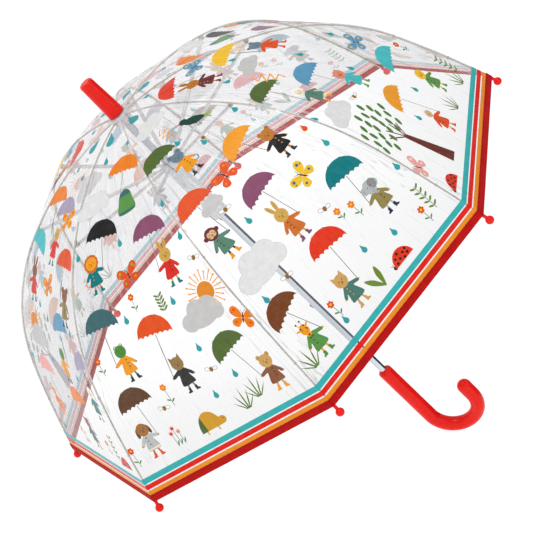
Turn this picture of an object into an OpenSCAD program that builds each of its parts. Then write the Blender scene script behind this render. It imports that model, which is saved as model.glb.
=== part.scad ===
// Children's dome umbrella: crook handle, steel shaft, crown, sliding runner, eight sprung ribs,
// eight stretchers, ball tips and a clear film canopy in sixteen half panels.
// Millimetres. +Z points to the ferrule cap, the crook bends towards +X,
// and the origin is on the shaft axis where the hand closes round the straight grip.

/* [Canopy] */
// Distance from the shaft axis to the crown and runner hinge wires
hinge_ring_radius = 9.5; // [9.5:0.1:10.5]
// Height of the crown hinges above the origin
crown_pivot_height = 545.9; // [500:0.1:600]
// Bend radius of the upper part of each rib
upper_bend_radius = 377.4; // [340:0.1:420]
// Length of the upper part of each rib
upper_bend_length = 189.8; // [170:0.1:210]
// Bend radius of the middle part of each rib
middle_bend_radius = 250; // [230:0.5:280]
// Length of the middle part of each rib
middle_bend_length = 154.3; // [140:0.1:165]
// Bend radius of the lower part of each rib
lower_bend_radius = 1174; // [900:1:1400]
// Length of the lower part of each rib, to the ball's centre
lower_bend_length = 145.1; // [130:0.1:160]
// Diameter of the rib wire
rib_diameter = 2.4; // [2:0.1:2.8]
// Thickness of the film
film_thickness = 0.3; // [0.2:0.1:0.5]
// Clear distance between a rib wire and the film
film_gap = 0.7; // [0.6:0.1:1]
// Distance along a rib from its hinge to the film's centre hole
film_start = 3.6; // [3.4:0.1:6]
// Distance along a rib from the film's hem to the ball's centre
hem_to_ball = 10; // [10:0.5:14]

/* [Tips and cap] */
// Diameter of each ball tip
ball_diameter = 10; // [9:0.5:12]
// Diameter of each ball tip's neck
neck_diameter = 4; // [3.6:0.1:5]
// Length of each ball tip's neck, from the ball's centre
neck_length = 9.5; // [8:0.1:9.6]
// Length of the ferrule cap
cap_length = 54; // [45:0.5:60]
// Diameter of the ferrule cap at its lower end
cap_lower_diameter = 21; // [18:0.1:22]
// Diameter of the ferrule cap just below its rounded top
cap_upper_diameter = 18.2; // [14:0.1:19]

/* [Shaft and runner] */
// Diameter of the shaft tube
shaft_diameter = 9; // [8.6:0.1:9.4]
// Wall of the shaft tube
shaft_wall = 0.6; // [0.5:0.1:0.8]
// Radial running clearance of the runner on the shaft
runner_clearance = 0.08; // [0.02:0.01:0.1]
// Height of the stretcher hinges on the open runner
runner_pivot_height = 460; // [440:0.5:480]
// Height of the open runner's lower end
runner_bottom_height = 368.6; // [350:0.1:380]
// Diameter of the runner's sleeve
sleeve_diameter = 20; // [19:0.5:22]
// Diameter of the runner's hub
hub_diameter = 25; // [24:0.5:25]
// Diameter of the hinge wires
wire_diameter = 1.2; // [1:0.1:1.3]

/* [Stretchers] */
// Distance along a rib from its hinge to its stretcher joint
joint_station = 164; // [150:1:175]
// Depth of the joint below the rib wire's centre line
joint_depth = 3; // [2.8:0.1:4]
// Outside width of a stretcher's channel
channel_width = 4.2; // [4.2:0.1:5]
// Height of a stretcher's channel
channel_height = 3; // [2.6:0.1:3.6]
// Length of the open fork at a stretcher's outer end
fork_length = 15; // [14:0.5:20]

/* [Handle] */
// Diameter of the handle
handle_diameter = 18.8; // [17:0.1:20]
// Length of the straight grip above the origin
grip_above = 56; // [45:0.5:65]
// Length of the straight grip below the origin
grip_below = 41.8; // [41.5:0.1:60]
// Radius of the crook's centre line
crook_radius = 33.8; // [30:0.1:36]
// Length of the straight end after the crook
crook_end_length = 17; // [4:0.5:20]

/* [Hidden] */
$fn = 48;
film_steps = 36;
rod_r = rib_diameter / 2;
half_angle = 22.5;
ring = hinge_ring_radius;
eye_hole_r = wire_diameter / 2 + 0.08;
eye_r = 1.7;
tongue_thick = 1.2;
slot_width = 1.6;
shaft_r = shaft_diameter / 2;
shaft_inner_r = shaft_r - shaft_wall;
wall_fit = 0.02;

// Rib curve in its own upright plane, as [radius, height, downward slope in degrees]
function bent(p, bend, len) =
    let (c = [p[0] - bend * sin(p[2]), p[1] - bend * cos(p[2])], a = p[2] + len / bend * 180 / PI)
    [c[0] + bend * sin(a), c[1] + bend * cos(a), a];
rib_0 = [ring, crown_pivot_height, 0];
rib_a = bent(rib_0, upper_bend_radius, upper_bend_length);
rib_b = bent(rib_a, middle_bend_radius, middle_bend_length);
rib_c = bent(rib_b, lower_bend_radius, lower_bend_length);
rib_length = upper_bend_length + middle_bend_length + lower_bend_length;
function rib_at(s) =
    s <= upper_bend_length ? bent(rib_0, upper_bend_radius, s)
    : s <= upper_bend_length + middle_bend_length
        ? bent(rib_a, middle_bend_radius, s - upper_bend_length)
        : bent(rib_b, lower_bend_radius, s - upper_bend_length - middle_bend_length);
// A point at height d above the rib's centre line, square to it
function above_rib(p, d) = [p[0] + d * sin(p[2]), p[1] + d * cos(p[2])];

joint_on_rib = rib_at(joint_station);
joint_point = above_rib(joint_on_rib, -joint_depth);
stretcher_run = joint_point[0] - ring;
stretcher_rise = joint_point[1] - runner_pivot_height;
stretcher_length = sqrt(stretcher_run * stretcher_run + stretcher_rise * stretcher_rise);
stretcher_slope = atan2(stretcher_rise, stretcher_run);

rod_start = 8;
rod_end = rib_length - 3;
film_in = rod_r + film_gap;
film_out = film_in + film_thickness;
film_end = rib_length - hem_to_ball;
cap_bottom = crown_pivot_height + 4.7;
runner_top = runner_pivot_height + 2.5;
shaft_bottom = -40;
shaft_top = cap_bottom + cap_length - 12;
handle_r = handle_diameter / 2;
key_half = 1.5;
key_depth = 7.8;
nose_out = 7.2;
top_catch_height = runner_bottom_height - 7;
bottom_catch_height = 190;

// Rib number n stands in the upright plane at this angle
function rib_angle(n) = 22.5 + 45 * (n - 1);

// ---------- shared shapes ----------

// A cylinder along Y, centred on y = 0
module across(r, len) {
    rotate([90, 0, 0]) cylinder(r = r, h = len, center = true);
}

// A wire ring around the shaft axis
module ring_wire(radius, r, z) {
    translate([0, 0, z]) rotate_extrude() translate([radius, 0]) circle(r = r);
}

// A bent rod in the XZ plane: it starts at p, bends down with the given radius, from length a to b
module bent_rod(p, bend, a, b, r) {
    a_deg = p[2] + a / bend * 180 / PI;
    b_deg = p[2] + b / bend * 180 / PI;
    translate([p[0] - bend * sin(p[2]), 0, p[1] - bend * cos(p[2])])
        rotate([90, 0, 0]) rotate([0, 0, 90 - b_deg])
            rotate_extrude(angle = b_deg - a_deg) translate([bend, 0]) circle(r = r);
}

// The slots of a hinge ring, from radius 7.2 outwards
module hinge_slots(z_low, z_high) {
    for (n = [1 : 8]) rotate([0, 0, rib_angle(n)])
        translate([7.2, -slot_width / 2, z_low]) cube([12, slot_width, z_high - z_low]);
}

// ---------- fixed parts ----------

module shaft_tube() {
    color([0.75, 0.77, 0.8]) difference() {
        translate([0, 0, shaft_bottom]) cylinder(r = shaft_r, h = shaft_top - shaft_bottom);
        translate([0, 0, shaft_bottom - 1]) cylinder(r = shaft_inner_r, h = shaft_top - shaft_bottom + 2);
        translate([-shaft_r, 0, top_catch_height]) cube([6, 2.4, 9], center = true);
        translate([-shaft_r, 0, bottom_catch_height]) cube([6, 2.4, 9], center = true);
        translate([0, 0, crown_pivot_height - 4.4]) rotate([0, 90, 0])
            cylinder(r = 1 + wall_fit, h = 20, center = true);
    }
}

// A round end of radius r, standing on its base, with its top edge rounded
module rounded_end(r, round) {
    rotate_extrude() intersection() {
        union() {
            square([r - round, round]);
            translate([r - round, 0]) circle(r = round);
        }
        square([r, round]);
    }
}

module handle() {
    round = 4;
    color([0.9, 0.13, 0.09]) difference() {
        union() {
            translate([0, 0, -grip_below]) cylinder(r = handle_r, h = grip_below + grip_above - round);
            translate([0, 0, grip_above - round]) rounded_end(handle_r, round);
            translate([crook_radius, 0, -grip_below]) rotate([90, 0, 0]) rotate([0, 0, 180])
                rotate_extrude(angle = 180) translate([crook_radius, 0]) circle(r = handle_r);
            translate([2 * crook_radius, 0, -grip_below])
                cylinder(r = handle_r, h = crook_end_length);
            translate([2 * crook_radius, 0, -grip_below + crook_end_length])
                sphere(r = handle_r);
        }
        translate([0, 0, shaft_bottom - 1])
            cylinder(r = shaft_r + wall_fit, h = grip_above - shaft_bottom + 5);
    }
}

module ferrule_cap() {
    r1 = cap_lower_diameter / 2;
    r2 = cap_upper_diameter / 2;
    round = 3;
    color([0.9, 0.13, 0.09]) translate([0, 0, cap_bottom]) difference() {
        union() {
            cylinder(r1 = r1 - 0.8, r2 = r1, h = 0.8);
            translate([0, 0, 0.8]) cylinder(r1 = r1, r2 = r2, h = cap_length - 0.8 - round);
            translate([0, 0, cap_length - round]) rounded_end(r2, round);
        }
        translate([0, 0, -1]) cylinder(r = shaft_r + wall_fit, h = cap_length - 11 + 1);
    }
}

module canopy_washer() {
    z = crown_pivot_height;
    color([0.85, 0.86, 0.88]) rotate_extrude()
        polygon([[shaft_r + 0.1, z + 3.2], [12.4, z + 3.2], [12.4, z + 2.3], [16, z + 2.2],
            [16, z + 3.4], [11, z + 4.5], [shaft_r + 0.1, z + 4.5]]);
}

module crown() {
    z = crown_pivot_height;
    color([0.82, 0.83, 0.85]) difference() {
        translate([0, 0, z - 7]) cylinder(r = 11.8, h = 9.9);
        translate([0, 0, z - 8]) cylinder(r = shaft_r + wall_fit, h = 12);
        hinge_slots(z - 8, z + 2);
        ring_wire(ring, wire_diameter / 2 + wall_fit, z);
        translate([0, 0, z - 4.4]) rotate([0, 90, 0]) cylinder(r = 1 + wall_fit, h = 30, center = true);
    }
}

module crown_wire() {
    color([0.6, 0.61, 0.63]) ring_wire(ring, wire_diameter / 2, crown_pivot_height);
}

module crown_rivet() {
    color([0.6, 0.61, 0.63]) translate([0, 0, crown_pivot_height - 4.4]) rotate([0, 90, 0])
        cylinder(r = 1, h = 22.8, center = true);
}

// A catch: a flat strip inside the tube with a wedge nose that stands out through the shaft's slot
module catch_spring(z) {
    color([0.7, 0.71, 0.73]) translate([0, 0, z]) {
        translate([-3.7, -1, -12]) cube([0.9, 2, 24]);
        rotate([90, 0, 0]) linear_extrude(height = 2, center = true)
            polygon([[-3, -4.1], [-3, 4.1], [-nose_out, 4.1], [-nose_out, 2.6], [-shaft_r, -4.1]]);
    }
}

module top_catch() {
    catch_spring(top_catch_height);
}

module bottom_catch() {
    catch_spring(bottom_catch_height);
}

// ---------- runner ----------

module runner() {
    bore = shaft_r + runner_clearance;
    low = runner_bottom_height;
    color([0.86, 0.88, 0.88]) difference() {
        union() {
            translate([0, 0, runner_top - 10.5]) cylinder(r = hub_diameter / 2, h = 10.5);
            translate([0, 0, runner_top - 15])
                cylinder(r1 = sleeve_diameter / 2, r2 = hub_diameter / 2, h = 4.5);
            translate([0, 0, low + 5]) cylinder(r = sleeve_diameter / 2, h = runner_top - 15 - low - 5);
            translate([0, 0, low + 1.2]) cylinder(r = sleeve_diameter / 2 + 1.5, h = 12);
            translate([0, 0, low]) cylinder(r1 = sleeve_diameter / 2 + 0.3,
                r2 = sleeve_diameter / 2 + 1.5, h = 1.2);
            translate([0, 0, low + 13.2]) cylinder(r1 = sleeve_diameter / 2 + 1.5,
                r2 = sleeve_diameter / 2, h = 1.5);
        }
        translate([0, 0, low - 1]) cylinder(r = bore, h = 120);
        translate([-key_depth, -key_half, low - 1]) cube([key_depth, 2 * key_half, 120]);
        hinge_slots(runner_pivot_height - 2.5, runner_top + 1);
        ring_wire(ring, wire_diameter / 2 + wall_fit, runner_pivot_height);
    }
}

module runner_wire() {
    color([0.6, 0.61, 0.63]) ring_wire(ring, wire_diameter / 2, runner_pivot_height);
}

// ---------- ribs and ball tips ----------

module rib(n) {
    j = joint_on_rib;
    color([0.66, 0.63, 0.58]) rotate([0, 0, rib_angle(n)]) difference() {
        union() {
            translate([ring, 0, crown_pivot_height]) across(eye_r, tongue_thick);
            translate([ring, -tongue_thick / 2, crown_pivot_height - 0.95])
                cube([rod_start + 1, tongue_thick, 1.8]);
            bent_rod(rib_0, upper_bend_radius, rod_start, upper_bend_length - 0.5, rod_r);
            bent_rod(rib_a, middle_bend_radius, 0.5, middle_bend_length - 0.5, rod_r);
            bent_rod(rib_b, lower_bend_radius, 0.5,
                rod_end - upper_bend_length - middle_bend_length, rod_r);
            // low collars where the film is tied to the rib
            for (k = [rib_a, rib_b]) translate([k[0], 0, k[1]]) rotate([0, 90 + k[2], 0])
                cylinder(r = rod_r + 0.25, h = 4, center = true);
            // flat ear that hangs under the wire and carries the stretcher joint
            translate([j[0], 0, j[1]]) rotate([0, j[2], 0])
                translate([-4, -0.9, -joint_depth]) cube([8, 1.8, joint_depth]);
            translate([joint_point[0], 0, joint_point[1]]) across(1.8, 1.8);
        }
        translate([ring, 0, crown_pivot_height]) across(eye_hole_r, 4);
        translate([joint_point[0], 0, joint_point[1]]) across(1, 4);
    }
}

module tip(n) {
    p = rib_c;
    color([0.9, 0.12, 0.1]) rotate([0, 0, rib_angle(n)])
        translate([p[0], 0, p[1]]) rotate([0, p[2] - 90, 0]) difference() {
            union() {
                sphere(r = ball_diameter / 2);
                cylinder(r = neck_diameter / 2, h = neck_length);
            }
            translate([0, 0, 2.9]) cylinder(r = rod_r + 0.06, h = neck_length);
        }
}

// ---------- stretchers ----------

// A stretcher lies along +X from the runner hinge at the origin
module stretcher(n) {
    len = stretcher_length;
    w = channel_width;
    h = channel_height;
    wall = 0.6;
    color([0.78, 0.78, 0.76]) rotate([0, 0, rib_angle(n)])
        translate([ring, 0, runner_pivot_height]) rotate([0, -stretcher_slope, 0]) difference() {
            union() {
                across(eye_r, tongue_thick);
                translate([0, -tongue_thick / 2, -1.1]) cube([12, tongue_thick, 2.2]);
                translate([7, -w / 2, -h / 2]) cube([len - 7, w, h]);
                translate([len, 0, 0]) across(2.2, w);
            }
            across(eye_hole_r, 4);
            translate([11, wall - w / 2, wall - h / 2]) cube([len, w - 2 * wall, h]);
            translate([len - fork_length, wall - w / 2, -h]) cube([fork_length + 5, w - 2 * wall, 2 * h]);
            translate([len, 0, 0]) across(1 + wall_fit, w + 2);
        }
}

// The two headed ends of a joint rivet, one in each cheek of the fork
module rivet(n) {
    w = channel_width;
    color([0.6, 0.61, 0.63]) rotate([0, 0, rib_angle(n)])
        translate([joint_point[0], 0, joint_point[1]])
            for (side = [-90, 90]) rotate([side, 0, 0]) {
                translate([0, 0, w / 2 - 0.6 - 0.3]) cylinder(r = 1, h = 1.0);
                translate([0, 0, w / 2 + 0.04]) cylinder(r1 = 1.9, r2 = 1.3, h = 0.8);
            }
}

// ---------- film ----------

// The half panel on the counter-clockwise side of a rib, in the rib's own frame. Its rulings
// run square to the middle plane between two ribs, as a film pulled tight does.
module half_panel() {
    t = tan(half_angle);
    edge = 0.2;
    stations = [for (i = [0 : film_steps]) film_start + (film_end - film_start) * i / film_steps];
    pts = [for (s = stations)
        let (p = rib_at(s), a = above_rib(p, film_in), b = above_rib(p, film_out))
        each [
            [a[0] - edge * t, edge, a[1]],
            [b[0] - edge * t, edge, b[1]],
            [b[0] * cos(half_angle) * cos(half_angle) + edge * sin(half_angle),
                (b[0] * sin(half_angle) - edge) * cos(half_angle), b[1]],
            [a[0] * cos(half_angle) * cos(half_angle) + edge * sin(half_angle),
                (a[0] * sin(half_angle) - edge) * cos(half_angle), a[1]]
        ]];
    last = 4 * film_steps;
    sides = [for (i = [0 : film_steps - 1]) for (e = [0 : 3])
        let (v = 4 * i, w = 4 * i + 4, f = (e + 1) % 4)
        each [[v + e, v + f, w + f], [v + e, w + f, w + e]]];
    ends = [[3, 2, 1], [3, 1, 0], [last, last + 1, last + 2], [last, last + 2, last + 3]];
    polyhedron(points = pts, faces = concat(sides, ends));
}

module film_left(n) {
    color([0.9, 0.93, 0.95, 0.4]) rotate([0, 0, rib_angle(n)]) half_panel();
}

module film_right(n) {
    color([0.9, 0.93, 0.95, 0.4]) rotate([0, 0, rib_angle(n)]) mirror([0, 1, 0]) half_panel();
}

shaft_tube();
handle();
ferrule_cap();
canopy_washer();
crown();
crown_wire();
crown_rivet();
top_catch();
bottom_catch();
runner();
runner_wire();
rib(1);  // rib_1
rib(2);  // rib_2
rib(3);  // rib_3
rib(4);  // rib_4
rib(5);  // rib_5
rib(6);  // rib_6
rib(7);  // rib_7
rib(8);  // rib_8
tip(1);  // tip_1
tip(2);  // tip_2
tip(3);  // tip_3
tip(4);  // tip_4
tip(5);  // tip_5
tip(6);  // tip_6
tip(7);  // tip_7
tip(8);  // tip_8
stretcher(1);  // stretcher_1
stretcher(2);  // stretcher_2
stretcher(3);  // stretcher_3
stretcher(4);  // stretcher_4
stretcher(5);  // stretcher_5
stretcher(6);  // stretcher_6
stretcher(7);  // stretcher_7
stretcher(8);  // stretcher_8
rivet(1);  // rivet_1
rivet(2);  // rivet_2
rivet(3);  // rivet_3
rivet(4);  // rivet_4
rivet(5);  // rivet_5
rivet(6);  // rivet_6
rivet(7);  // rivet_7
rivet(8);  // rivet_8
film_left(1);  // film_1_left
film_left(2);  // film_2_left
film_left(3);  // film_3_left
film_left(4);  // film_4_left
film_left(5);  // film_5_left
film_left(6);  // film_6_left
film_left(7);  // film_7_left
film_left(8);  // film_8_left
film_right(1);  // film_1_right
film_right(2);  // film_2_right
film_right(3);  // film_3_right
film_right(4);  // film_4_right
film_right(5);  // film_5_right
film_right(6);  // film_6_right
film_right(7);  // film_7_right
film_right(8);  // film_8_right
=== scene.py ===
import bmesh
import bpy
import numpy as np
from math import atan2, copysign, cos, degrees, dist, exp, hypot, pi, radians, sin, sqrt
from mathutils import Matrix, Vector, noise
from mathutils.geometry import delaunay_2d_cdt


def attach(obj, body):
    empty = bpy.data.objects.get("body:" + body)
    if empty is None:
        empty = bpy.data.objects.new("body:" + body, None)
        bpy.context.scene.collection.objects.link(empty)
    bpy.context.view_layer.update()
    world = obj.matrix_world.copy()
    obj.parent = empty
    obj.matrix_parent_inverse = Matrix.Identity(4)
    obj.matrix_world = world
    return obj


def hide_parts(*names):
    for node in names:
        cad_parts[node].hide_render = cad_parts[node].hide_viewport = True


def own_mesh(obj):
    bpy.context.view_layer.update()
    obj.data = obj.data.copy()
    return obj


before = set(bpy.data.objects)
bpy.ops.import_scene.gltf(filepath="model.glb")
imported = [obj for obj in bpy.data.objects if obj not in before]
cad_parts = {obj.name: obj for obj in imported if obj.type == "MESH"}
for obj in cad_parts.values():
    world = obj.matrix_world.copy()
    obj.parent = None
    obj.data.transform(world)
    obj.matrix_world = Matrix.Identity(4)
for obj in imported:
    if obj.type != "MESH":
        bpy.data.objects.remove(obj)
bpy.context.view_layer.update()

MM = 0.001
UP = Vector((0, 0, 1))


def add_object(name, data):
    thing = bpy.data.objects.new(name, data)
    bpy.context.scene.collection.objects.link(thing)
    return thing


def turned(angle):
    """The cosine and sine of an angle in degrees."""
    return cos(radians(angle)), sin(radians(angle))


def circle(count):
    """Cosines and sines of evenly spaced angles."""
    angles = [2 * pi * i / count for i in range(count)]
    return [(cos(angle), sin(angle)) for angle in angles]


# ---- camera
# its directions and place are given for the umbrella before its turn of 45 degrees about Z
TURN = Matrix.Rotation(radians(45), 3, "Z")
VIEW = (TURN @ Vector((0.18366, 0.88848, -0.42056))).normalized()
RIGHT = VIEW.cross(TURN @ Vector((0.7662, 0.1386, 0.6275))).normalized()
UPWARD = RIGHT.cross(VIEW).normalized()
camera_data = bpy.data.cameras.new("camera")
camera_data.lens = 125.49
camera_data.sensor_width = 36
camera_data.clip_end = 200
camera = add_object("camera", camera_data)
camera_place = Matrix((RIGHT, UPWARD, -VIEW)).transposed().to_4x4()
camera_place.translation = TURN @ Vector((-0.4273, -2.0269, 1.2358))
camera.matrix_world = camera_place
bpy.context.scene.camera = camera
bpy.context.scene.view_settings.view_transform = "Standard"

# ---- rib curve and film, in mm
RIBS = 8
SECTOR = 45  # degrees between ribs
FIRST_RIB = 22.5  # degrees from +X to rib 1
HALF_COS, HALF_SIN = turned(SECTOR / 2)
HINGE = (9.5, 545.9, 0)  # radius, height and slope where a rib hangs in the crown
BENDS = ((377.4, 189.8), (250, 154.3), (1174, 145.1))  # radius and length of a rib's arcs
RIB_LENGTH = sum(length for _, length in BENDS)
FILM_LIFT = 2.05  # from the rib's middle to the film
FILM_START = 3.6
FILM_END = RIB_LENGTH - 10


def bent(start, radius, length):
    """Radius, height and slope at the end of an arc that starts at such a place."""
    slope = radians(start[2])
    middle_r = start[0] - radius * sin(slope)
    middle_z = start[1] - radius * cos(slope)
    slope += length / radius
    return middle_r + radius * sin(slope), middle_z + radius * cos(slope), degrees(slope)


def rib_at(station):
    """Radius, height and slope of a rib, a station being the length along it from the crown."""
    place = HINGE
    for radius, length in BENDS:
        if station <= length or radius == BENDS[-1][0]:
            return bent(place, radius, station)
        place = bent(place, radius, length)
        station -= length


rib_places = np.array([rib_at(station) for station in np.linspace(FILM_START, FILM_END, 1200)])
rib_slopes = np.radians(rib_places[:, 2])
# along a rib, the film's radius and height; down the middle of a panel, its length from the top
# and its outward direction
FILM_R = rib_places[:, 0] + FILM_LIFT * np.sin(rib_slopes)
FILM_Z = rib_places[:, 1] + FILM_LIFT * np.cos(rib_slopes)
DOWN = np.concatenate([[0], np.cumsum(np.hypot(np.diff(FILM_R * HALF_COS), np.diff(FILM_Z)))])
PANEL_LENGTH = DOWN[-1]
steepness = np.hypot(np.sin(rib_slopes), HALF_COS * np.cos(rib_slopes))
OUT_R = np.sin(rib_slopes) / steepness
OUT_Z = HALF_COS * np.cos(rib_slopes) / steepness


def half_width(y):
    """From the middle of a panel to its rib, at a height y above the hem."""
    return np.interp(PANEL_LENGTH - np.asarray(y, float), DOWN, FILM_R) * HALF_SIN


def wrinkle(panel, x, y):
    """How far the film stands off its tight shape: soft waves that die out at the ribs."""
    width = float(half_width(y))
    across = min(abs(x) / max(width, 1e-6), 1)
    seed = panel * 17.3
    stand = 1.2 * noise.noise(Vector((x / 46 + seed, y / 92, 1.7)))
    # tension folds that fan out from the seams
    near = max(0, across - 0.35) / 0.65
    fan = noise.noise(Vector((x / 30 + seed, y / 22 + abs(x) * 0.035, 5.1)))
    stand += 0.55 * near * fan * (0.35 + 0.65 * min(1, y / 260))
    # gathers that run together at the crown
    top = max(0, (y - 230) / (PANEL_LENGTH - 230))
    gather = noise.noise(Vector((copysign(across, x) * 4.6 + seed, y / 70, 9.9)))
    stand += 1.5 * top * gather
    # sharp storage creases
    crease = 1 - abs(noise.noise(Vector((x / 60 + seed + 40, y / 48, 3.3)))) * 9
    if crease > 0:
        depth = 0.10 + 0.34 * min(1, max(0, (y - 200) / 200))
        stand += depth * crease * crease * copysign(1, sin(seed + 2))
    seam = 1 - across ** 6
    hem = min(1, max(0, y / 60)) * 0.75 + 0.25
    return stand * seam * hem * min(1, width / 40)


def looseness(x, y):
    """0 where the film is pulled smooth, 1 where it is creased: by the crown and the ribs."""
    across = min(1, abs(x) / max(float(half_width(y)), 1e-6))
    top = min(1, max(0, (y - 170) / 230))
    return min(1, 0.12 + 0.75 * top + 0.55 * max(0, (across - 0.6) / 0.4) ** 1.5)


def on_film(panel, x, y, lift=0):
    """A point on a panel, in metres: x mm to the right seen from outside, y mm up from the hem."""
    c, s = turned(FIRST_RIB + SECTOR * (panel - 1) + SECTOR / 2)
    past = max(0, -y)
    r, z, out_r, out_z = (np.interp(PANEL_LENGTH - y, DOWN, line) for line in (FILM_R, FILM_Z, OUT_R, OUT_Z))
    stand = lift + wrinkle(panel, x, max(y, 0))
    r = r * HALF_COS + past * out_z + out_r * stand
    z = z - past * out_r + out_z * stand
    return Vector((c * r - s * x, s * r + c * x, z)) * MM


def rib_frame(n):
    """Outward, sideways and up at a rib."""
    c, s = turned(FIRST_RIB + SECTOR * (n - 1))
    return Vector((c, s, 0)), Vector((-s, c, 0)), UP


# ---- materials
def srgb(code):
    """A linear colour from six hexadecimal digits."""
    parts = [int(code[i:i + 2], 16) / 255 for i in (0, 2, 4)]
    return [v / 12.92 if v <= 0.04045 else ((v + 0.055) / 1.055) ** 2.4 for v in parts] + [1]


class Nodes:
    """Short ways to build a node tree."""
    def __init__(self, tree):
        self.tree = tree

    def new(self, kind, **values):
        """A shader node with its inputs, spaces as underscores, and its settings by name."""
        node = self.tree.nodes.new("ShaderNode" + kind)
        for name, value in values.items():
            socket = node.inputs.get(name.replace("_", " "))
            if socket is None:
                setattr(node, name, value)
            else:
                self.feed([value], [socket])
        return node

    def feed(self, values, sockets):
        """Links each value that is an output, and sets each one that is a number or colour."""
        for value, socket in zip(values, sockets):
            if isinstance(value, bpy.types.NodeSocket):
                self.tree.links.new(value, socket)
            else:
                socket.default_value = value

    def math(self, operation, *values, clamp=False):
        node = self.new("Math", operation=operation, use_clamp=clamp)
        self.feed(values, node.inputs)
        return node.outputs[0]

    def stretched_noise(self, place, stretch, shift, scale, detail, rough=0.5):
        mapping = self.new("Mapping", Vector=place, Scale=stretch, Location=(shift, shift, 0))
        return self.new("TexNoise", Vector=mapping.outputs["Vector"], Scale=scale,
                        Detail=detail, Roughness=rough).outputs["Fac"]

    def noise(self, scale, detail=4, rough=0.55, stretch=(1, 1, 1)):
        place = self.new("TexCoord").outputs["Object"]
        return self.stretched_noise(place, stretch, 0, scale, detail, rough)

    def ramp(self, factor, stops):
        node = self.new("ValToRGB", Fac=factor)
        elements = node.color_ramp.elements
        while len(elements) < len(stops):
            elements.new(0.5)
        for element, (position, colour) in zip(elements, stops):
            element.position = position
            element.color = colour
        return node.outputs["Color"]

    def mapped(self, value, low, high, start=0, end=1):
        """A value from start to end, as a number from low to high."""
        return self.new("MapRange", Value=value, From_Min=start, From_Max=end,
                        To_Min=low, To_Max=high).outputs["Result"]

    def blend(self, factor, first, second, how="MIX"):
        """Two colours mixed by a factor; a Mix node's colour sockets are its inputs 6 and 7."""
        node = self.new("Mix", data_type="RGBA", blend_type=how)
        self.feed((factor, first, second), [node.inputs[i] for i in (0, 6, 7)])
        return node.outputs[2]

    def shader_mix(self, factor, first, second, output):
        node = self.new("MixShader")
        self.feed((factor, first.outputs[0], second.outputs[0]), node.inputs)
        self.feed([node.outputs[0]], [self.tree.nodes[output].inputs["Surface"]])


class Mat(Nodes):
    """A material's nodes, with its Principled shader."""
    def __init__(self, name):
        self.material = bpy.data.materials.new(name)
        self.material.use_nodes = True
        super().__init__(self.material.node_tree)
        self.shader = self.tree.nodes["Principled BSDF"]

    def paint(self, **values):
        for name, value in values.items():
            self.feed([value], [self.shader.inputs[name.replace("_", " ")]])

    def shades(self, pattern, dark, light, margin=0.3):
        return self.ramp(pattern, [(margin, srgb(dark)), (1 - margin, srgb(light))])

    def bump(self, height, strength, distance):
        node = self.new("Bump", Height=height, Strength=strength, Distance=distance)
        self.paint(Normal=node.outputs["Normal"])

    def see_through(self, solid, tint):
        """Mixes the shader with a clear one; the tint is a colour or an output."""
        clear = self.new("BsdfTransparent", Color=tint)
        self.shader_mix(solid, clear, self.shader, "Material Output")
        return self.material


def surface(name, dark, light, rough, noises, bump, stretch=(1, 1, 1), **values):
    """A material with noises, each a scale and detail, for its colour, roughness and bump."""
    mat = Mat(name)
    colour, gloss, relief = (mat.noise(*pattern, stretch=stretch) for pattern in noises)
    mat.paint(Base_Color=mat.shades(colour, dark, light), Roughness=mat.mapped(gloss, *rough), **values)
    mat.bump(relief, *bump)
    return mat


def plastic(name, dark, light, shine):
    return surface(name, dark, light, (0.2, 0.34), ((26,), (70,), (900, 2)), (0.12, 0.00004),
                   Coat_Weight=0.05, Coat_Roughness=0.08, Specular_IOR_Level=shine).material


def misty(name, dark, light, rough, solid, tint):
    """Plastic that some light comes through."""
    mat = surface(name, dark, light, rough, ((30,), (80,), (500, 2)), (0.1, 0.00005))
    return mat.see_through(mat.mapped(mat.noise(24), *solid), tint)


def metal(name, dark, light, rough, metallic=1, stretch=(1, 1, 1)):
    return surface(name, dark, light, rough, ((160, 3, 0.5), (220, 3, 0.5), (700, 2, 0.5)),
                   (0.1, 0.00003), stretch, Metallic=metallic).material


def film(name, solid, rough):
    """Clear film: a white veil, stronger at a slant, and creases that run together at the crown, with
    painted highlights and painted shade along them, and painted shade towards the hem.
    """
    mat = Mat(name)
    uv = mat.new("UVMap", uv_map="panel").outputs["UV"]

    def along(detail, stretch, shift=0):
        return mat.stretched_noise(uv, stretch, shift, 1, detail)

    def thin_lines(field, width):
        """Where a noise passes its middle value, 0.5 in the line and 0 beside it."""
        off = mat.math("ABSOLUTE", mat.math("SUBTRACT", field, 0.5))
        return mat.mapped(off, 0.5, 0, 0, width)

    loose = mat.new("Attribute", attribute_name="loose").outputs["Fac"]
    fine = along(1, (6.5, 0.45, 1))
    broad = along(2, (4, 1.1, 1))
    whites = [(0.3, srgb("eceff2")), (0.5, srgb("f8f9fb")), (0.7, srgb("ffffff"))]
    mat.paint(Base_Color=mat.ramp(broad, whites), Roughness=mat.mapped(broad, *rough),
              Specular_IOR_Level=0.6)
    mat.bump(mat.math("ADD", mat.math("MULTIPLY", fine, loose), broad), 0.2, 0.0014)
    # pale crease lines, painted highlights, and broad pale patches lie in the veil
    pale = mat.math("ADD", thin_lines(fine, 0.014), mat.mapped(broad, 0, 0.12, 0.54, 0.70))
    fresnel = mat.new("LayerWeight", Blend=0.32).outputs["Fresnel"]
    veil = mat.math("ADD", mat.math("MULTIPLY", fresnel, 0.5), mat.math("MULTIPLY", pale, loose))
    # painted shade: dark crease lines lie in the clear part, and the clear part is a little darker towards
    # the hem
    dark = mat.math("MULTIPLY", thin_lines(along(2, (8, 0.6, 1), 7.3), 0.012), loose)
    height = mat.new("SeparateXYZ", Vector=uv)
    lit = mat.math("SUBTRACT", mat.mapped(height.outputs["Y"], 0.81, 0.95, 0.3, 2.6), dark)
    tint = mat.ramp(lit, [(0, (0, 0, 0.012, 1)), (1, (1, 1, 1, 1))])
    return mat.see_through(mat.math("ADD", veil, solid, clamp=True), tint)


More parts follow.
